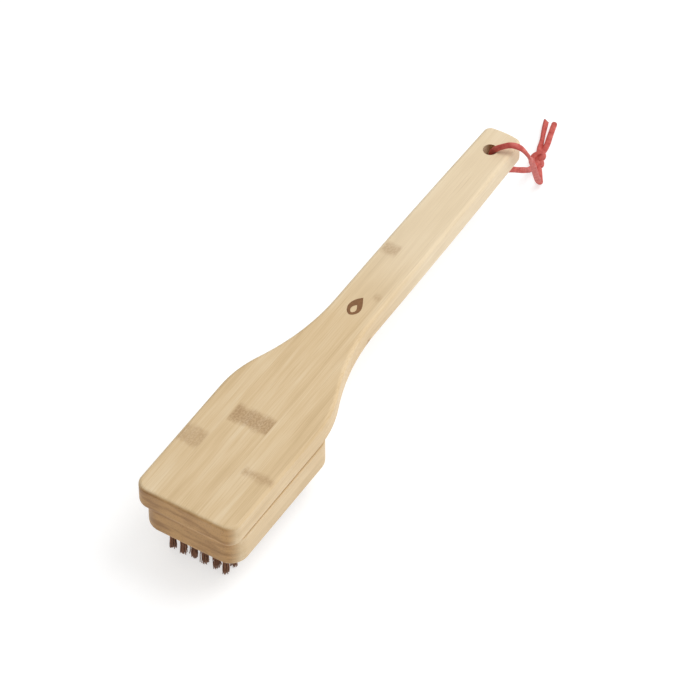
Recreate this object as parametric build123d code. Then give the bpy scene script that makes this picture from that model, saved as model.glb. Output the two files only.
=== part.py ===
from build123d import *
import math
import os

# Bamboo grill brush: a paddle-shaped board laminated from bamboo strips, a bamboo brush block glued
# under its head, wire tufts stapled into the block, and a leather lace looped through the handle's hole.
# Millimetres. +X runs from the head to the handle's end, +Z is up, and the origin is on the ground,
# under the middle of the board, where the tips of the tufts stand.

# Paddle board
board_length = 305.0
board_thickness = 15.0
head_width = 58.8
head_corner_radius = 7.5
head_straight = 78.0        # front face to where the shoulder starts
shoulder_radius = 64.0      # the outward curve of the shoulder
neck_radius = 135.0         # the inward curve that runs into the handle
neck_width = 24.8
end_width = 21.2
end_bow = 1.2               # how far the middle of the handle's end stands out past its corners
end_corner_radius = 4.0
board_top_radius = 2.0      # the sanded rounding along the top edges
board_bottom_radius = 4.0   # and along the bottom ones

# Bamboo strips, glued side by side in plies
strip_width = 23.0
seam_to_rounding = 0.3      # the face and back plies' right seams clear the handle's rounding by this
core_seam = -15.6           # the core ply's right seam, from the board's middle line
ply_count = 3

# Hanging hole
hole_diameter = 7.8
hole_from_end = 15.8
hole_edge_break = 0.4

# Brush block
block_length = 87.5
block_width = 56.6
block_thickness = 17.5
block_setback = 3.2         # how far its front lies behind the board's front
block_offset = -0.6         # glued this far off the board's middle line
block_corner_radius = 10.0
block_bottom_radius = 2.8
block_top_radius = 0.6
block_seam_columns = 2      # each seam lies this many columns from the middle

# Wire tufts
tuft_columns = 6
tuft_rows = 12
column_pitch = 6.2
row_pitch = 6.3
first_row_setback = 9.1     # from the block's front to the first row
bristle_length = 18.0       # from the block to the tips
tuft_hole_diameter = 3.6
tuft_hole_depth = 11.0
tuft_clearance = 0.05       # round the tuft in its hole
tuft_tip_diameter = 4.4     # the wires spread towards their tips

# Wire staples that hold each tuft's folded wires
staple_thickness = 0.5
staple_height = 1.6
staple_fold_gap = 0.9       # wire folded between the staple and the bottom of the hole
staple_clearance = 0.04

# Leather lace
lace_diameter = 2.8
lace_middle_height = 43.0   # where the upper and the lower strand meet, inside the hole
knot_length = 9.5
knot_width = 8.5
knot_height = 7.6
knot_rounding = 3.2
knot_turn = 18.5            # degrees from +X
knot_place = (46.3, -2.8, 4.0)
arc_share = 0.45            # of the shorter run beside a corner of the lace's route

# Each route's places are measured from the hole's axis in X and Y, and from the ground in Z.
lace_inside_hole = (0.0, -0.6)
upper_strand_route = [
    (*lace_inside_hole, lace_middle_height), (0.0, -0.6, 53.5), (1.8, -6.6, 56.8), (6.0, -13.2, 56.0),
    (10.6, -16.4, 48.5), (18.3, -14.8, 33.5), (26.8, -12.2, 16.5), (33.3, -11.5, 4.2),
    (36.5, -9.6, 2.0), (41.5, -6.3, 3.4), (45.5, -4.0, 4.0),
]
lower_strand_route = [
    (*lace_inside_hole, lace_middle_height), (0.0, -0.6, 33.0), (5.3, -4.8, 29.6), (14.8, -7.4, 26.5),
    (23.8, -6.6, 19.5), (32.3, -5.2, 11.0), (39.8, -2.6, 5.2), (44.5, -1.6, 4.2),
]
left_tail_route = [(47.5, -0.8, 4.0), (56.0, 3.0, 2.3), (64.5, 7.0, 1.6), (76.0, 9.8, 1.6)]
right_tail_route = [(48.6, -4.0, 3.8), (57.5, -0.9, 2.3), (66.0, 2.6, 1.6), (77.3, 4.9, 1.6)]

# Heights and places that follow from the sizes above
block_bottom = bristle_length
board_bottom = block_bottom + block_thickness
board_top = board_bottom + board_thickness
front_x = -board_length / 2
end_x = board_length / 2
hole_x = end_x - hole_from_end
block_front = front_x + block_setback
staple_middle = block_bottom + tuft_hole_depth - staple_fold_gap - staple_height / 2
block_centre_x = block_front + block_length / 2
face_seam = board_top_radius + seam_to_rounding - end_width / 2
back_seam = board_bottom_radius + seam_to_rounding - end_width / 2
block_seam = block_seam_columns * column_pitch
big = 2 * board_length      # larger than anything that it cuts


def board_outline():
    """The paddle's outline, seen from above."""
    half_head, half_neck, half_end = head_width / 2, neck_width / 2, end_width / 2
    turn = math.degrees(math.acos(1 - (half_head - half_neck) / (shoulder_radius + neck_radius)))
    with BuildSketch() as sketch:
        with BuildLine():
            front = Line((front_x, 0), (front_x, half_head))
            side = Line(front @ 1, (front_x + head_straight, half_head))
            shoulder = JernArc(side @ 1, (1, 0), shoulder_radius, -turn)
            neck = JernArc(shoulder @ 1, shoulder % 1, neck_radius, turn)
            TangentArc(neck @ 1, (end_x - end_bow, half_end), tangent=(1, 0))
            TangentArc((end_x, 0), (end_x - end_bow, half_end), tangent=(0, 1))
            mirror(about=Plane.XZ)
        make_face()
        fillet(sketch.vertices().group_by(Axis.X)[0], head_corner_radius)
        end_corners = [v for v in sketch.vertices() if v.X > end_x - 2 * end_bow and abs(v.Y) > half_end / 2]
        fillet(end_corners, end_corner_radius)
    return sketch.sketch


def paddle_board():
    """The whole board with its rounded edges and its hole, before it is told apart into strips."""
    blank = extrude(Pos(0, 0, board_bottom) * board_outline(), board_thickness)
    blank = fillet(blank.faces().sort_by(Axis.Z)[0].edges(), board_bottom_radius)
    blank = fillet(blank.faces().sort_by(Axis.Z)[-1].edges(), board_top_radius)
    hole = Pos(hole_x, 0, board_bottom) * Cylinder(hole_diameter / 2, 3 * board_thickness)
    flare = hole_diameter / 2 + hole_edge_break
    mouth = Cone(flare, flare - 2 * hole_edge_break, 2 * hole_edge_break)
    lower_mouth = Pos(hole_x, 0, board_bottom) * mouth
    upper_mouth = Pos(hole_x, 0, board_top) * Rot(180, 0, 0) * mouth
    return blank - hole - lower_mouth - upper_mouth


def tuft_places():
    """Each row of tufts as a list of (x, y)."""
    first_x = block_front + first_row_setback
    first_y = block_offset - column_pitch * (tuft_columns - 1) / 2
    return [
        [(first_x + row * row_pitch, first_y + column * column_pitch) for column in range(tuft_columns)]
        for row in range(tuft_rows)
    ]


def brush_block():
    """The whole block with its tuft holes, before it is told apart into strips."""
    outline = RectangleRounded(block_length, block_width, block_corner_radius)
    block = extrude(Pos(block_centre_x, block_offset, block_bottom) * outline, block_thickness)
    block = fillet(block.faces().sort_by(Axis.Z)[0].edges(), block_bottom_radius)
    block = fillet(block.faces().sort_by(Axis.Z)[-1].edges(), block_top_radius)
    drill = Cylinder(tuft_hole_diameter / 2, tuft_hole_depth, align=(Align.CENTER, Align.CENTER, Align.MIN))
    holes = [Pos(x, y, block_bottom) * drill for row in tuft_places() for x, y in row]
    return block - holes


def cut_into_strips(whole, bottom, top, seams, prefix):
    """One ply of the wood, cut at its seams into strips that meet face to face."""
    edges = [-big, *seams, big]
    names = ["right", "middle", "left"]
    strips = {}
    for name, low, high in zip(names, edges, edges[1:]):
        room = Pos(0, (low + high) / 2, (bottom + top) / 2) * Box(big, high - low, top - bottom)
        strips[prefix + "_strip_" + name] = whole & room
    return strips


def staple_solid(x, y):
    """The flat wire staple across one tuft's fold."""
    across = tuft_hole_diameter - 2 * staple_clearance
    width = across * math.cos(math.asin(staple_thickness / across))
    return Pos(x, y, staple_middle) * Box(staple_thickness, width, staple_height)


def tuft_solid(x, y):
    """One tuft: a round bundle in its hole that spreads towards the tips, folded round its staple."""
    root_radius = tuft_hole_diameter / 2 - tuft_clearance
    top = block_bottom + tuft_hole_depth - tuft_clearance
    with BuildPart() as tuft:
        with BuildSketch(Plane.XZ):
            tip_radius = tuft_tip_diameter / 2
            profile = [(0, 0), (tip_radius, 0), (root_radius, block_bottom), (root_radius, top), (0, top)]
            Polygon(*profile, align=None)
        revolve(axis=Axis.Z)
    slot_width, slot_height = staple_thickness + 2 * staple_clearance, staple_height + 2 * staple_clearance
    slot = Pos(0, 0, staple_middle) * Box(slot_width, 2 * tuft_hole_diameter, slot_height)
    return Pos(x, y, 0) * (tuft.part - slot)


def corner_radii(points):
    """The arc at each corner of a lace's route, as large as the two runs beside it allow."""
    radii = []
    for before, corner, after in zip(points, points[1:], points[2:]):
        run_in, run_out = Vector(*corner) - Vector(*before), Vector(*after) - Vector(*corner)
        half_turn = math.radians(run_in.get_angle(run_out)) / 2
        radii.append(arc_share * min(run_in.length, run_out.length) / math.tan(half_turn))
    return radii


def lace_tube(name, route):
    """A round lace along straight runs joined by tangent arcs."""
    points = [(hole_x + x, y, z) for x, y, z in route]
    radii = corner_radii(points)
    path = FilletPolyline(*points, radius=radii)
    tube = sweep(Plane(origin=path @ 0, z_dir=path % 0) * Circle(lace_diameter / 2), path=path)
    expected = math.pi * (lace_diameter / 2) ** 2 * path.length
    print(name, "length", round(path.length, 1), "volume", round(tube.volume, 1), "of", round(expected, 1),
          "radii", [round(radius, 1) for radius in radii])
    return tube


def lace_knot():
    """The outer shape of the knot that ties the two strands."""
    block = fillet(Box(knot_length, knot_width, knot_height).edges(), knot_rounding)
    x, y, z = knot_place
    return Pos(hole_x + x, y, z) * Rot(0, 0, knot_turn) * block


def board_strips():
    board = paddle_board()
    ply = board_thickness / ply_count
    strips = {}
    plies = [("board_back", back_seam), ("board_core", core_seam), ("board_face", face_seam)]
    for index, (name, seam) in enumerate(plies):
        bottom = board_bottom + index * ply
        strips.update(cut_into_strips(board, bottom, bottom + ply, [seam, seam + strip_width], name))
    return strips


def block_strips():
    block = brush_block()
    middle = block_bottom + block_thickness / 2
    seams = [block_offset - block_seam, block_offset + block_seam]
    lower = cut_into_strips(block, block_bottom, middle, seams, "block_lower")
    upper = cut_into_strips(block, middle, board_bottom, seams, "block_upper")
    return {**lower, **upper}


def tufts_and_staples():
    nodes = {}
    staples = []
    for number, row in enumerate(tuft_places(), start=1):
        nodes[f"tuft_row_{number:02d}"] = Compound(children=[tuft_solid(x, y) for x, y in row])
        staples += [staple_solid(x, y) for x, y in row]
    nodes["tuft_staples"] = Compound(children=staples)
    return nodes


def lace():
    knot = lace_knot()
    return {
        "lace_upper_strand": lace_tube("upper strand", upper_strand_route) - knot,
        "lace_lower_strand": lace_tube("lower strand", lower_strand_route) - knot,
        "lace_knot": knot,
        "lace_left_tail": lace_tube("left tail", left_tail_route) - knot,
        "lace_right_tail": lace_tube("right tail", right_tail_route) - knot,
    }


os.makedirs("parts", exist_ok=True)
for node, shape in {**board_strips(), **block_strips(), **tufts_and_staples(), **lace()}.items():
    export_step(shape, f"parts/{node}.step")
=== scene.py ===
import bpy
import math
import random
from mathutils import Matrix, Quaternion, Vector


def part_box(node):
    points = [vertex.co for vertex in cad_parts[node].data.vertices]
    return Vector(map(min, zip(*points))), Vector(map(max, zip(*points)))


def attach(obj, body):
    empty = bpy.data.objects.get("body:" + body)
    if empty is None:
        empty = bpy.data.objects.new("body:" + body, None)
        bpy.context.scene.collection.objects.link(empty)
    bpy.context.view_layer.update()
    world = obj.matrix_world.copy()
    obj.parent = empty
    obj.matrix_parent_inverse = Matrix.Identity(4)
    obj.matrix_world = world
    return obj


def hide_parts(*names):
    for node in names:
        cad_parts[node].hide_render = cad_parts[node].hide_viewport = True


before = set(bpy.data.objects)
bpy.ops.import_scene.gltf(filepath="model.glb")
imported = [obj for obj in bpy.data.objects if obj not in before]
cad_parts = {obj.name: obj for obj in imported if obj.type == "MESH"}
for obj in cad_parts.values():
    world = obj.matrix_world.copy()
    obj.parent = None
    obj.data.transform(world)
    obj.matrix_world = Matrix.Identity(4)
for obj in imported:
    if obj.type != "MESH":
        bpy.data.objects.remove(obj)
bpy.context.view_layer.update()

# Bamboo grill brush. Metres, +X towards the handle's end, +Z up, the ground at z = 0.
mm = 0.001
scene = bpy.context.scene
scene.view_settings.view_transform = "Standard"

boardLow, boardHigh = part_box("board_core_strip_middle")
frontX = boardLow.x
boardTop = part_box("board_face_strip_middle")[1].z
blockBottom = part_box("block_lower_strip_middle")[0].z
holeFromEnd = 15.8 * mm
holeX = boardHigh.x - holeFromEnd


def hexColour(code):
    channels = [int(code[i:i + 2], 16) / 255 for i in (1, 3, 5)]
    linear = [c / 12.92 if c <= 0.04045 else ((c + 0.055) / 1.055) ** 2.4 for c in channels]
    return (*linear, 1.0)


cameraSettings = {
    "aim": (-11.56 * mm, -7.29 * mm, 38.14 * mm),
    "azimuth": 57.59,       # degrees from the handle's direction to the view's
    "elevation": 47.87,
    "distance": 2400 * mm,
    "lens": 244.8,          # millimetres on a 36 mm sensor: a long lens, so the sides run almost parallel
    "roll": -0.18,
}


def addCamera(settings):
    azimuth, elevation = math.radians(settings["azimuth"]), math.radians(settings["elevation"])
    level = math.cos(elevation)
    away = Vector((math.sin(azimuth) * level, math.cos(azimuth) * level, -math.sin(elevation)))
    camera = bpy.data.objects.new("camera", bpy.data.cameras.new("camera"))
    camera.data.lens = settings["lens"]
    camera.data.clip_end = 20
    camera.rotation_mode = "QUATERNION"
    roll = Quaternion((0, 0, 1), math.radians(settings["roll"]))
    camera.rotation_quaternion = away.to_track_quat("-Z", "Y") @ roll
    camera.location = Vector(settings["aim"]) - away * settings["distance"]
    scene.collection.objects.link(camera)
    scene.camera = camera


addCamera(cameraSettings)
print("camera placed")


def addNode(tree, kind, links=None, **settings):
    # a node given as a link stands for its first output
    node = tree.nodes.new(kind)
    for name, value in settings.items():
        setattr(node, name, value)
    for name, value in (links or {}).items():
        if isinstance(value, bpy.types.Node):
            value = value.outputs[0]
        if isinstance(value, bpy.types.NodeSocket):
            tree.links.new(value, node.inputs[name])
        else:
            node.inputs[name].default_value = value
    return node


def newMaterial(name):
    material = bpy.data.materials.new(name)
    material.use_nodes = True
    material.node_tree.nodes.clear()
    return material, material.node_tree


laceSettings = {
    "width": 3.2 * mm,
    "thickness": 2.0 * mm,
    "sides": 16,
    "squareness": 0.65,      # below 1 the section is squarer than an ellipse
    "foldSwell": 0.12,       # how much wider the lace lies where it is folded
    "foldThinning": 0.12,    # and how much thinner
    "foldReach": 7 * mm,
    "unevenness": 0.04,      # hand-cut leather: its width wanders a little
    "unevenLengths": (3.1 * mm, 7.7 * mm),
    "endReach": 4 * mm,      # over this length the section gives way to the cut end's shape
    "knotSize": (1.38 * mm, 1.24 * mm, 0.94 * mm),
    "knotPlace": (46.7, -2.3, 4.1),
    "knotTurn": 18.5,
    "knotTurns": 1.84,       # how far the knot's own curve runs each way
    "knotPoints": 17,
    "strandGap": 0.85 * mm,  # half the distance between the two strands side by side in the knot
    "upperRoute": [
        (0.0, -0.6, 43.0), (0.6, -0.2, 47.8), (0.8, -2.8, 52.0), (2.0, -6.2, 54.4), (3.9, -10.4, 56.4),
        (6.3, -15.0, 54.6), (9.9, -17.3, 47.0), (14.6, -16.8, 38.0), (19.4, -15.6, 28.5),
        (24.6, -13.8, 18.5), (30.0, -12.3, 8.5), (33.8, -11.8, 2.8), (36.8, -9.6, 2.3), (41.2, -6.6, 3.2),
    ],
    "lowerRoute": [
        (0.0, -0.6, 43.0), (0.2, -0.7, 37.5), (2.4, -2.0, 32.9), (7.4, -4.2, 31.4), (12.2, -6.4, 28.8),
        (17.7, -7.2, 24.0), (23.5, -7.4, 19.0), (30.2, -6.4, 12.6), (37.4, -4.0, 6.4),
    ],
    "leftTail": [(54.6, 1.2, 3.2), (60.5, 3.2, 2.2), (68.0, 6.6, 1.8), (76.3, 9.7, 1.8)],
    "rightTail": [(54.4, -1.5, 3.2), (60.4, -0.2, 2.0), (68.0, 2.4, 1.5), (77.4, 5.1, 1.5)],
}


def fromHole(point):
    x, y, z = point
    return Vector((holeX + x * mm, y * mm, z * mm))


def knotCurve(settings, side):
    # an overhand knot is a polynomial curve; the second strand runs beside the first along its binormal
    points = []
    turn = Matrix.Rotation(math.radians(settings["knotTurn"]), 3, "Z")
    sizeU, sizeV, sizeW = settings["knotSize"]
    count = settings["knotPoints"]
    for index in range(count):
        t = settings["knotTurns"] * (2 * index / (count - 1) - 1)
        place = Vector((t**3 - 3 * t, t**4 - 4 * t**2 + 2, t**5 / 5 - 2 * t))
        speed = Vector((3 * t**2 - 3, 4 * t**3 - 8 * t, t**4 - 2))
        bend = Vector((6 * t, 12 * t**2 - 8, 4 * t**3))
        scaled = Vector((place.x * sizeU, place.y * sizeV, place.z * sizeW))
        beside = speed.cross(bend).normalized() * side * settings["strandGap"]
        points.append(fromHole(settings["knotPlace"]) + turn @ (scaled + beside))
    return points


def splinePoints(name, controls, resolution=10):
    curve = bpy.data.curves.new(name, "CURVE")
    curve.dimensions = "3D"
    curve.resolution_u = resolution
    spline = curve.splines.new("NURBS")
    spline.points.add(len(controls) - 1)
    for point, place in zip(spline.points, controls):
        point.co = (*place, 1)
    spline.order_u = 3
    spline.use_endpoint_u = True
    holder = bpy.data.objects.new(name, curve)
    scene.collection.objects.link(holder)
    mesh = bpy.data.meshes.new_from_object(holder.evaluated_get(bpy.context.evaluated_depsgraph_get()))
    points = [vertex.co.copy() for vertex in mesh.vertices]
    bpy.data.objects.remove(holder)
    bpy.data.meshes.remove(mesh)
    bpy.data.curves.remove(curve)
    return [p for i, p in enumerate(points) if i == 0 or (p - points[i - 1]).length > 1e-6]


def meshObject(name, vertices, faces, materials, smooth=True, slots=None):
    mesh = bpy.data.meshes.new(name)
    mesh.from_pydata(vertices, [], faces)
    for material in materials:
        mesh.materials.append(material)
    for polygon in mesh.polygons:
        polygon.use_smooth = smooth
    if slots:
        mesh.polygons.foreach_set("material_index", slots)
    mesh.validate()
    mesh.update()
    piece = bpy.data.objects.new(name, mesh)
    scene.collection.objects.link(piece)
    return piece


def laceTube(name, path, settings, lies, fold, cut, materials):
    # a flat lace: each stop of its lie says which way the flat face looks there
    sides, power = settings["sides"], settings["squareness"]
    short, long = settings["unevenLengths"]
    vertices, faces, slots = [], [], []
    lengths = [0.0]
    for before, after in zip(path, path[1:]):
        lengths.append(lengths[-1] + (after - before).length)
    total = lengths[-1]
    for index, place in enumerate(path):
        tangent = (path[min(index + 1, len(path) - 1)] - path[max(index - 1, 0)]).normalized()
        share = lengths[index] / total
        facing = alongPath(lies, share)
        turned = (facing - tangent * facing.dot(tangent)).normalized()
        across = tangent.cross(turned)
        folded = math.exp(-((share - fold) * total / settings["foldReach"]) ** 2) if fold else 0.0
        swell = 1 + settings["foldSwell"] * folded
        swell += settings["unevenness"] * math.sin(lengths[index] / short) * math.sin(lengths[index] / long)
        ending = max(0.0, 1 - (total - lengths[index]) / settings["endReach"]) ** 2
        for side in range(sides):
            angle = 2 * math.pi * side / sides
            c, s = math.cos(angle), math.sin(angle)
            flat = math.copysign(abs(c) ** power, c) * settings["width"] / 2 * swell
            thick = math.copysign(abs(s) ** power, s) * settings["thickness"] / 2
            thick *= 1 - settings["foldThinning"] * folded
            vertices.append(place + across * flat + turned * thick + tangent * ending * cut(c))
    for ring in range(len(path) - 1):
        for side in range(sides):
            a, b = ring * sides + side, ring * sides + (side + 1) % sides
            faces.append((a, b, b + sides, a + sides))
            slots.append(0)
    last = (len(path) - 1) * sides
    faces += [tuple(range(sides - 1, -1, -1)), tuple(range(last, last + sides))]
    slots += [1, 1]
    return meshObject(name, vertices, faces, materials, slots=slots), total


def alongPath(stops, share):
    # the value at one share of the way, between stops of (share, value)
    for (low, before), (high, after) in zip(stops, stops[1:]):
        if share <= high:
            step = (share - low) / (high - low)
            return before + (after - before) * step * step * (3 - 2 * step)
    return stops[-1][1]


def notchedCut(across):
    return -1.3 * mm * (1 - abs(across))


def roundedCut(across):
    return -1.1 * mm * across * across


def leatherMaterial():
    # veg-tanned leather, dyed red and waxed: soft sheen, fine pores, paler in patches
    material, tree = newMaterial("dyedLeather")
    place = addNode(tree, "ShaderNodeTexCoord").outputs["Object"]
    pores = addNode(tree, "ShaderNodeTexNoise", {"Vector": place, "Scale": 2600.0, "Detail": 3.0})
    creases = addNode(tree, "ShaderNodeTexNoise", {"Vector": place, "Scale": 420.0, "Detail": 4.0})
    ramp = addNode(tree, "ShaderNodeValToRGB", {"Fac": creases})
    ramp.color_ramp.elements[0].color = hexColour("#B03C34")
    ramp.color_ramp.elements[0].position = 0.3
    ramp.color_ramp.elements[1].color = hexColour("#CF6358")
    ramp.color_ramp.elements[1].position = 0.72
    height = addNode(tree, "ShaderNodeMath", {0: pores, 1: 0.35, 2: creases}, operation="MULTIPLY_ADD")
    bump = addNode(tree, "ShaderNodeBump", {"Height": height, "Strength": 0.5, "Distance": 0.15 * mm})
    rough = addNode(tree, "ShaderNodeMapRange", {"Value": creases, "To Min": 0.62, "To Max": 0.45})
    shader = addNode(tree, "ShaderNodeBsdfPrincipled", {
        "Base Color": ramp, "Roughness": rough, "Normal": bump, "IOR": 1.5,
    })
    addNode(tree, "ShaderNodeOutputMaterial", {"Surface": shader})
    return material


def cutLeatherMaterial():
    # the undyed middle of the lace, seen only where it was cut: pale tan, dry fibres
    material, tree = newMaterial("cutLeather")
    place = addNode(tree, "ShaderNodeTexCoord").outputs["Object"]
    fibres = addNode(tree, "ShaderNodeTexNoise", {"Vector": place, "Scale": 3000.0, "Detail": 2.0})
    ramp = addNode(tree, "ShaderNodeValToRGB", {"Fac": fibres})
    ramp.color_ramp.elements[0].color = hexColour("#7A5A3C")
    ramp.color_ramp.elements[1].color = hexColour("#B48F66")
    shader = addNode(tree, "ShaderNodeBsdfPrincipled", {"Base Color": ramp, "Roughness": 0.85})
    addNode(tree, "ShaderNodeOutputMaterial", {"Surface": shader})
    return material


def addLace(settings):
    leather = [leatherMaterial(), cutLeatherMaterial()]
    up, outAndUp = Vector((0, 0, 1)), Vector((-0.57, -0.36, 0.74))
    strands = [
        ("laceUpper", "upperRoute", "leftTail", 1, notchedCut, 0.5,
         [(0, outAndUp), (0.1, outAndUp), (0.2, Vector((0.2, -0.3, 1))), (0.3, outAndUp),
          (0.5, outAndUp), (0.6, up), (0.8, up), (0.9, Vector((0.5, -0.8, 0.35))),
          (1, Vector((0.3, -0.6, 0.7)))],
         ["lace_upper_strand", "lace_knot", "lace_left_tail"]),
        ("laceLower", "lowerRoute", "rightTail", -1, roundedCut, 0.0,
         [(0, outAndUp), (0.1, outAndUp), (0.2, Vector((0.2, -0.9, 0.1))), (0.4, Vector((0.2, -0.9, 0.2))),
          (0.5, up), (1, up)],
         ["lace_lower_strand", "lace_right_tail"]),
    ]
    for name, route, tail, side, cut, fold, lies, nodes in strands:
        controls = [fromHole(p) for p in settings[route]]
        controls += knotCurve(settings, side)
        controls += [fromHole(p) for p in settings[tail]]
        path = splinePoints(name, controls)
        piece, length = laceTube(name, path, settings, lies, fold, cut, leather)
        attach(piece, "lace")
        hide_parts(*nodes)
        print(name, "is", round(length / mm, 1), "mm long")


addLace(laceSettings)
print("lace tied")


bambooSettings = {
    "dark": "#C6AA7E",
    "mid": "#D7BC92",
    "light": "#E4CFAC",
    "pale": "#F0E4CB",          # what the handle fades towards
    "paleFrom": -5 * mm,
    "paleTo": 55 * mm,
    "paleShare": 0.38,
    "knot": "#8E6538",
    "knotSpeckle": 0.42,        # how far a joint's mottle breaks up its band
    "endDark": "#9F7340",
    "endLight": "#C1955D",
    "glue": "#8F6E48",
    "glueWidth": 0.15 * mm,
    "glueShare": 0.07,
    "poreSpacing": 0.75 * mm,
    # each pattern's length along the fibres, width across them and detail
    "fibres": (26 * mm, 0.42 * mm, 2.0),
    "bands": (130 * mm, 4.5 * mm, 1.0),
    "clouds": (42 * mm, 15 * mm, 2.0),
    "lines": (34 * mm, 0.3 * mm, 1.0),
    "mottle": (1.3 * mm, 0.8 * mm, 3.0),
    "endBands": (19 * mm, 4.4 * mm),   # across the board and up it, on the sawn ends
}


def bambooMaterial(name, seed, tone, knots, seams, plies):
    # flat-pressed bamboo, sanded and oiled: straight fibres along the board, mottled bands where the cane
    # had its joints, dots of vessels on the ends, a hair-thin glue line between strips
    look = bambooSettings
    material, tree = newMaterial(name)
    coords = addNode(tree, "ShaderNodeTexCoord")
    place = coords.outputs["Object"]
    axes = addNode(tree, "ShaderNodeSeparateXYZ", {"Vector": place})
    x, y, z = axes.outputs["X"], axes.outputs["Y"], axes.outputs["Z"]
    grain = {}
    for pattern in ("fibres", "bands", "clouds", "lines", "mottle"):
        length, width, detail = look[pattern]
        mapping = addNode(tree, "ShaderNodeMapping", {
            "Vector": place, "Location": (seed * 1.7 + len(grain) * 11, seed * 3.1, seed * 0.9),
            "Scale": (1 / length, 1 / width, 1 / width)})
        grain[pattern] = addNode(tree, "ShaderNodeTexNoise", {
            "Vector": mapping, "Scale": 1.0, "Detail": detail, "Roughness": 0.55})

    mixed = addNode(tree, "ShaderNodeMath", {0: grain["clouds"], 1: 0.32}, operation="MULTIPLY")
    for pattern, share in (("bands", 0.3), ("fibres", 0.38)):
        mixed = addNode(tree, "ShaderNodeMath", {
            0: grain[pattern], 1: share, 2: mixed}, operation="MULTIPLY_ADD")
    ramp = addNode(tree, "ShaderNodeValToRGB", {"Fac": mixed})
    stops = ramp.color_ramp.elements
    stops[0].position, stops[0].color = 0.3, hexColour(look["dark"])
    stops[1].position, stops[1].color = 0.7, hexColour(look["light"])
    middle = stops.new(0.5)
    middle.color = hexColour(look["mid"])
    fade = addNode(tree, "ShaderNodeMapRange", {
        "Value": x, "From Min": look["paleFrom"], "From Max": look["paleTo"], "To Max": look["paleShare"]})
    colour = addNode(tree, "ShaderNodeMix", {
        "Factor": fade, 6: ramp, 7: hexColour(look["pale"])}, data_type="RGBA").outputs[2]

    dark = addNode(tree, "ShaderNodeMapRange", {
        "Value": grain["lines"], "From Min": 0.62, "From Max": 0.74, "To Max": 0.22})
    mottle = addNode(tree, "ShaderNodeMapRange", {
        "Value": grain["mottle"], "From Min": 0.4, "From Max": 0.58,
        "To Min": 1 - look["knotSpeckle"], "To Max": 1.0})
    wobble = addNode(tree, "ShaderNodeTexNoise", {"Vector": place, "Scale": 160.0})
    bend = addNode(tree, "ShaderNodeMapRange", {"Value": wobble, "To Min": -2.5 * mm, "To Max": 2.5 * mm})
    bent = addNode(tree, "ShaderNodeMath", {0: x, 1: bend}, operation="ADD")
    for knotX, low, high, width, strength in knots:
        # a joint darkens towards its middle and stops at the strip's glue lines
        middleX = frontX + knotX * mm
        patch = addNode(tree, "ShaderNodeMath", {0: mottle, 1: strength}, operation="MULTIPLY")
        for axis, edge, inside in ((bent, middleX - width * mm / 2, 4.5 * mm),
                                   (bent, middleX + width * mm / 2, -4.5 * mm),
                                   (y, (low - 0.5) * mm, 1.4 * mm), (y, (high + 0.5) * mm, -1.4 * mm)):
            side = addNode(tree, "ShaderNodeMapRange", {
                "Value": axis, "From Min": edge, "From Max": edge + inside}, interpolation_type="SMOOTHSTEP")
            patch = addNode(tree, "ShaderNodeMath", {0: patch, 1: side}, operation="MULTIPLY")
        dark = addNode(tree, "ShaderNodeMath", {0: dark, 1: patch}, operation="MAXIMUM")
    colour = addNode(tree, "ShaderNodeMix", {
        "Factor": dark, 6: colour, 7: hexColour(look["knot"])}, data_type="RGBA").outputs[2]

    seam = 0.0
    for value, axis in [(s, y) for s in seams] + [(p, z) for p in plies]:
        line = addNode(tree, "ShaderNodeMath", {
            0: axis, 1: value * mm, 2: look["glueWidth"]}, operation="COMPARE")
        seam = addNode(tree, "ShaderNodeMath", {0: seam, 1: line}, operation="MAXIMUM")
    glued = addNode(tree, "ShaderNodeMath", {0: seam, 1: look["glueShare"]}, operation="MULTIPLY")
    colour = addNode(tree, "ShaderNodeMix", {
        "Factor": glued, 6: colour, 7: hexColour(look["glue"])}, data_type="RGBA").outputs[2]

    facing = addNode(tree, "ShaderNodeSeparateXYZ", {"Vector": coords.outputs["Normal"]})
    endwise = addNode(tree, "ShaderNodeMath", {0: facing}, operation="ABSOLUTE")
    endMask = addNode(tree, "ShaderNodeMapRange", {"Value": endwise, "From Min": 0.45, "From Max": 0.9})
    across = addNode(tree, "ShaderNodeMapping", {
        "Vector": place, "Scale": (0.0, 1 / look["poreSpacing"], 1 / look["poreSpacing"])})
    vessels = addNode(tree, "ShaderNodeTexVoronoi", {"Vector": across, "Scale": 1.0, "Randomness": 0.8})
    dots = addNode(tree, "ShaderNodeMapRange", {
        "Value": vessels, "From Min": 0.42, "From Max": 0.2, "To Max": 0.3})
    wide, tall = look["endBands"]
    layers = addNode(tree, "ShaderNodeMapping", {
        "Vector": place, "Location": (0.0, 3.3, 1.7), "Scale": (0.0, 1 / wide, 1 / tall)})
    layered = addNode(tree, "ShaderNodeTexNoise", {"Vector": layers, "Scale": 1.0, "Detail": 2.0})
    share = addNode(tree, "ShaderNodeMapRange", {"Value": layered, "From Min": 0.34, "From Max": 0.56})
    endTone = addNode(tree, "ShaderNodeMix", {
        "Factor": share, 6: hexColour(look["endDark"]), 7: hexColour(look["endLight"])}, data_type="RGBA")
    endColour = addNode(tree, "ShaderNodeMix", {
        "Factor": dots, 6: endTone.outputs[2], 7: hexColour("#5E3D20")}, data_type="RGBA")
    colour = addNode(tree, "ShaderNodeMix", {
        "Factor": endMask, 6: colour, 7: endColour.outputs[2]}, data_type="RGBA").outputs[2]
    toned = addNode(tree, "ShaderNodeHueSaturation", {"Color": colour, "Value": tone})

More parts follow.
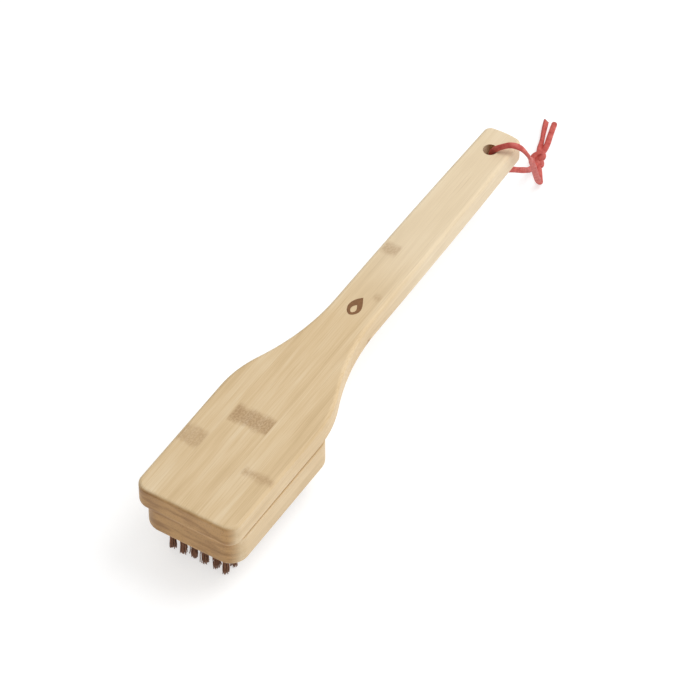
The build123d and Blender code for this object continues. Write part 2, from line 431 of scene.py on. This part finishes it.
    height = addNode(tree, "ShaderNodeMath", {0: grain["fibres"], 1: grain["lines"]}, operation="ADD")
    bump = addNode(tree, "ShaderNodeBump", {"Height": height, "Strength": 0.25, "Distance": 0.08 * mm})
    rough = addNode(tree, "ShaderNodeMapRange", {"Value": grain["bands"], "To Min": 0.42, "To Max": 0.6})
    shader = addNode(tree, "ShaderNodeBsdfPrincipled", {
        "Base Color": toned, "Roughness": rough, "Normal": bump, "IOR": 1.48})
    addNode(tree, "ShaderNodeOutputMaterial", {"Surface": shader})
    return material


# each joint of the cane: place from the board's front, its span across the board, its width, its strength
boardKnots = {
    "board_face_strip_left": [(42.5, 15.6, 28.5, 16, 0.4)],
    "board_face_strip_middle": [
        (66.5, -8.6, 14.2, 15, 0.62), (201, 1.5, 10.5, 12, 0.42), (169, -8.5, -3.5, 8, 0.35)],
    "board_face_strip_right": [(36.5, -29, -11, 9, 0.42)],
    "board_core_strip_left": [(58, 9, 30, 8, 0.8)],
    "board_core_strip_middle": [(112, -15, 8, 8, 0.8)],
    "board_back_strip_left": [(131, 18, 30, 8, 0.7)],
    "board_back_strip_middle": [(74, -7, 17, 9, 0.9), (232, -7, 17, 8, 0.8)],
    "board_back_strip_right": [(150, -30, -8, 8, 0.8)],
    "block_lower_strip_middle": [(61, -12, 12, 7, 0.8)],
    "block_upper_strip_left": [(77, 12, 30, 7, 0.7)],
}


def finishBamboo():
    glueLines = [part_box(f"{ply}_strip_middle")[0].z / mm
                 for ply in ("block_upper", "board_back", "board_core", "board_face")]
    tones = random.Random(5)
    number = 0
    for ply in ("board_face", "board_core", "board_back", "block_lower", "block_upper"):
        low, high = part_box(f"{ply}_strip_middle")
        seams = [low.y / mm, high.y / mm]
        for place in ("left", "middle", "right"):
            node = f"{ply}_strip_{place}"
            number += 1
            material = bambooMaterial("bamboo_" + node, number * 0.37, tones.uniform(0.97, 1.03),
                                      boardKnots.get(node, []), seams, glueLines)
            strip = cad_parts[node]
            strip.data.materials.clear()
            strip.data.materials.append(material)


finishBamboo()
print("bamboo finished")


markSettings = {
    "place": (158.5, 0.0),    # millimetres from the board's front and middle line
    "height": 13.5 * mm,
    "width": 8.2 * mm,
    "lift": 0.04 * mm,
    "steps": 28,
}


def flameOutline(height, width, steps, lean):
    # a plain flame: round below, drawn out to a tip that leans to one side
    points = []
    for index in range(steps):
        t = 2 * math.pi * index / steps
        rise = (1 - math.cos(t)) / 2
        half = math.sin(t) * (1 - rise) ** 0.55 * (0.45 + 0.75 * rise ** 0.35) if rise < 1 else 0.0
        sway = lean * width * rise ** 2 * math.sin(math.pi * rise)
        points.append((rise * height, half * width * 0.62 + sway))
    return points


def addMark(settings):
    # burnt into the wood with a hot stamp: dark brown, slightly uneven
    material, tree = newMaterial("burntBamboo")
    place = addNode(tree, "ShaderNodeTexCoord").outputs["Object"]
    char = addNode(tree, "ShaderNodeTexNoise", {"Vector": place, "Scale": 900.0, "Detail": 3.0})
    ramp = addNode(tree, "ShaderNodeValToRGB", {"Fac": char})
    ramp.color_ramp.elements[0].color = hexColour("#6B4526")
    ramp.color_ramp.elements[1].color = hexColour("#94683E")
    shader = addNode(tree, "ShaderNodeBsdfPrincipled", {"Base Color": ramp, "Roughness": 0.7})
    addNode(tree, "ShaderNodeOutputMaterial", {"Surface": shader})
    outer = flameOutline(settings["height"], settings["width"], settings["steps"], 0.16)
    inner = [(0.14 * settings["height"] + 0.42 * a, 0.42 * b) for a, b in outer]
    x0, y0 = frontX + settings["place"][0] * mm - settings["height"] / 2, settings["place"][1] * mm
    z = boardTop + settings["lift"]
    vertices = [(x0 + a, y0 + b, z) for a, b in outer + inner]
    count = len(outer)
    faces = [(i, (i + 1) % count, count + (i + 1) % count, count + i) for i in range(count)]
    mark = meshObject("burntFlameMark", vertices, [face[::-1] for face in faces], [material], smooth=False)
    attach(mark, "brush")


addMark(markSettings)
print("mark burnt")


tuftSettings = {
    "rows": 12,
    "columns": 6,
    "columnPitch": 6.2 * mm,
    "wires": 46,
    "wireRadius": 0.22 * mm,
    "rootRadius": 1.5 * mm,
    "tipRadius": 1.85 * mm,
    "rings": 8,
    "crimp": 0.15 * mm,
    "crimpLength": 4.6 * mm,
    "inBlock": 2.5 * mm,    # how far up into the block the wires are drawn
    "lean": 0.35 * mm,
    "slant": 0.35,          # how steeply a tuft's tips are cut, as a slope
    "uneven": 0.9 * mm,
    "strays": 0.03,         # share of the wires that have bent outwards
    "seed": 11,
}


def wireMaterial():
    # crimped wire, browned by heat: dark warm metal with a broken, dull gleam
    material, tree = newMaterial("brownedWire")
    place = addNode(tree, "ShaderNodeTexCoord").outputs["Object"]
    tarnish = addNode(tree, "ShaderNodeTexNoise", {"Vector": place, "Scale": 500.0, "Detail": 3.0})
    ramp = addNode(tree, "ShaderNodeValToRGB", {"Fac": tarnish})
    ramp.color_ramp.elements[0].color = hexColour("#6B4431")
    ramp.color_ramp.elements[1].color = hexColour("#A37355")
    shader = addNode(tree, "ShaderNodeBsdfPrincipled", {
        "Base Color": ramp, "Metallic": 0.5, "Roughness": 0.5,
    })
    addNode(tree, "ShaderNodeOutputMaterial", {"Surface": shader})
    return material


def addTufts(settings):
    draw = random.Random(settings["seed"])
    material = wireMaterial()
    top = blockBottom + settings["inBlock"]
    goldenAngle = 2.39996   # spreads the wires evenly over the tuft
    for row in range(1, settings["rows"] + 1):
        low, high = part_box(f"tuft_row_{row:02d}")
        rowX, rowY = (low.x + high.x) / 2, (low.y + high.y) / 2
        vertices, faces = [], []
        for column in range(settings["columns"]):
            centreY = rowY + (column - (settings["columns"] - 1) / 2) * settings["columnPitch"]
            leanX, leanY = draw.gauss(0, settings["lean"]), draw.gauss(0, settings["lean"])
            slantX, slantY = draw.gauss(0, settings["slant"]), draw.gauss(0, settings["slant"])
            shortest = settings["tipRadius"] * math.hypot(slantX, slantY)
            for wire in range(settings["wires"]):
                radius = math.sqrt((wire + 0.5) / settings["wires"])
                angle = wire * goldenAngle + draw.uniform(-0.3, 0.3)
                spread = radius * draw.uniform(0.85, 1.12)
                if draw.random() < settings["strays"]:
                    spread *= draw.uniform(1.5, 2.2)
                tipX, tipY = spread * math.cos(angle), spread * math.sin(angle)
                slanted = shortest + settings["tipRadius"] * (slantX * tipX + slantY * tipY)
                tipZ = max(0.0, slanted) * 0.8 + draw.uniform(0, settings["uneven"]) * draw.random()
                phase, turn = draw.uniform(0, 2 * math.pi), draw.uniform(0, math.pi)
                start = len(vertices)
                for ring in range(settings["rings"]):
                    down = ring / (settings["rings"] - 1)
                    z = top + (tipZ - top) * down
                    reach = settings["rootRadius"] * radius * (1 - down)
                    reach += settings["tipRadius"] * spread * down
                    wave = settings["crimp"] * math.sin(2 * math.pi * z / settings["crimpLength"] + phase)
                    x = rowX + reach * math.cos(angle) + leanX * down ** 2 + wave * math.cos(turn)
                    y = centreY + reach * math.sin(angle) + leanY * down ** 2 + wave * math.sin(turn)
                    for side in range(4):
                        corner = turn + side * math.pi / 2
                        vertices.append((x + settings["wireRadius"] * math.cos(corner),
                                         y + settings["wireRadius"] * math.sin(corner), z))
                for ring in range(settings["rings"] - 1):
                    for side in range(4):
                        a, b = start + ring * 4 + side, start + ring * 4 + (side + 1) % 4
                        faces.append((a, a + 4, b + 4, b))
                end = start + (settings["rings"] - 1) * 4
                faces.append((start, start + 1, start + 2, start + 3))
                faces.append((end + 3, end + 2, end + 1, end))
        tufts = meshObject(f"wireTufts{row:02d}", vertices, faces, [material])
        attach(tufts, "brush")
        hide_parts(f"tuft_row_{row:02d}")


addTufts(tuftSettings)
print("tufts set")


def stapleMaterial():
    # drawn galvanised wire: bright, fine scratches along it
    material, tree = newMaterial("galvanisedWire")
    place = addNode(tree, "ShaderNodeTexCoord").outputs["Object"]
    scratches = addNode(tree, "ShaderNodeTexNoise", {"Vector": place, "Scale": 4000.0})
    rough = addNode(tree, "ShaderNodeMapRange", {"Value": scratches, "To Min": 0.3, "To Max": 0.5})
    shader = addNode(tree, "ShaderNodeBsdfPrincipled", {
        "Base Color": hexColour("#B4B6B8"), "Metallic": 1.0, "Roughness": rough,
    })
    addNode(tree, "ShaderNodeOutputMaterial", {"Surface": shader})
    return material


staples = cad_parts["tuft_staples"]
staples.data.materials.clear()
staples.data.materials.append(stapleMaterial())


studioSettings = {
    "floorSize": 6.0,
    "floorColour": "#BCBCBC",
    "floorGlow": 0.62,            # the sweep is lit from below too, as a light table is
    "skyLow": 0.2,
    "skyHigh": 0.84,
    "skyFrom": (0.42, -0.35, 0.84),
    "keyPlace": (0.45, -0.50, 1.35),
    "keySize": 0.9,
    "keyPower": 9.0,
}


def addStudio(settings):
    material, tree = newMaterial("paperSweep")
    shader = addNode(tree, "ShaderNodeBsdfPrincipled", {
        "Base Color": hexColour(settings["floorColour"]), "Roughness": 0.9, "Specular IOR Level": 0.2,
        "Emission Color": (1, 1, 1, 1), "Emission Strength": settings["floorGlow"]})
    addNode(tree, "ShaderNodeOutputMaterial", {"Surface": shader})
    half = settings["floorSize"] / 2
    corners = [(-half, -half, 0), (half, -half, 0), (half, half, 0), (-half, half, 0)]
    floor = meshObject("floor", corners, [(0, 1, 2, 3)], [material], smooth=False)
    # a white tent over the table, brightest overhead and behind the handle
    world = bpy.data.worlds.new("studio")
    scene.world = world
    world.use_nodes = True
    tree = world.node_tree
    toward = addNode(tree, "ShaderNodeTexCoord").outputs["Generated"]
    bright = addNode(tree, "ShaderNodeVectorMath", {
        0: toward, 1: settings["skyFrom"]}, operation="DOT_PRODUCT")
    strength = addNode(tree, "ShaderNodeMapRange", {
        "Value": bright.outputs["Value"], "From Min": 0.0, "From Max": 1.0,
        "To Min": settings["skyLow"], "To Max": settings["skyLow"] + settings["skyHigh"]})
    tree.links.new(strength.outputs["Result"], tree.nodes["Background"].inputs["Strength"])
    tree.nodes["Background"].inputs["Color"].default_value = (1, 1, 1, 1)
    lamp = bpy.data.lights.new("keyLight", "AREA")
    lamp.shape = "DISK"
    lamp.size = settings["keySize"]
    lamp.energy = settings["keyPower"]
    light = bpy.data.objects.new("keyLight", lamp)
    light.location = settings["keyPlace"]
    light.rotation_mode = "QUATERNION"
    light.rotation_quaternion = (-Vector(settings["keyPlace"])).to_track_quat("-Z", "Y")
    scene.collection.objects.link(light)


addStudio(studioSettings)
print("studio lit")
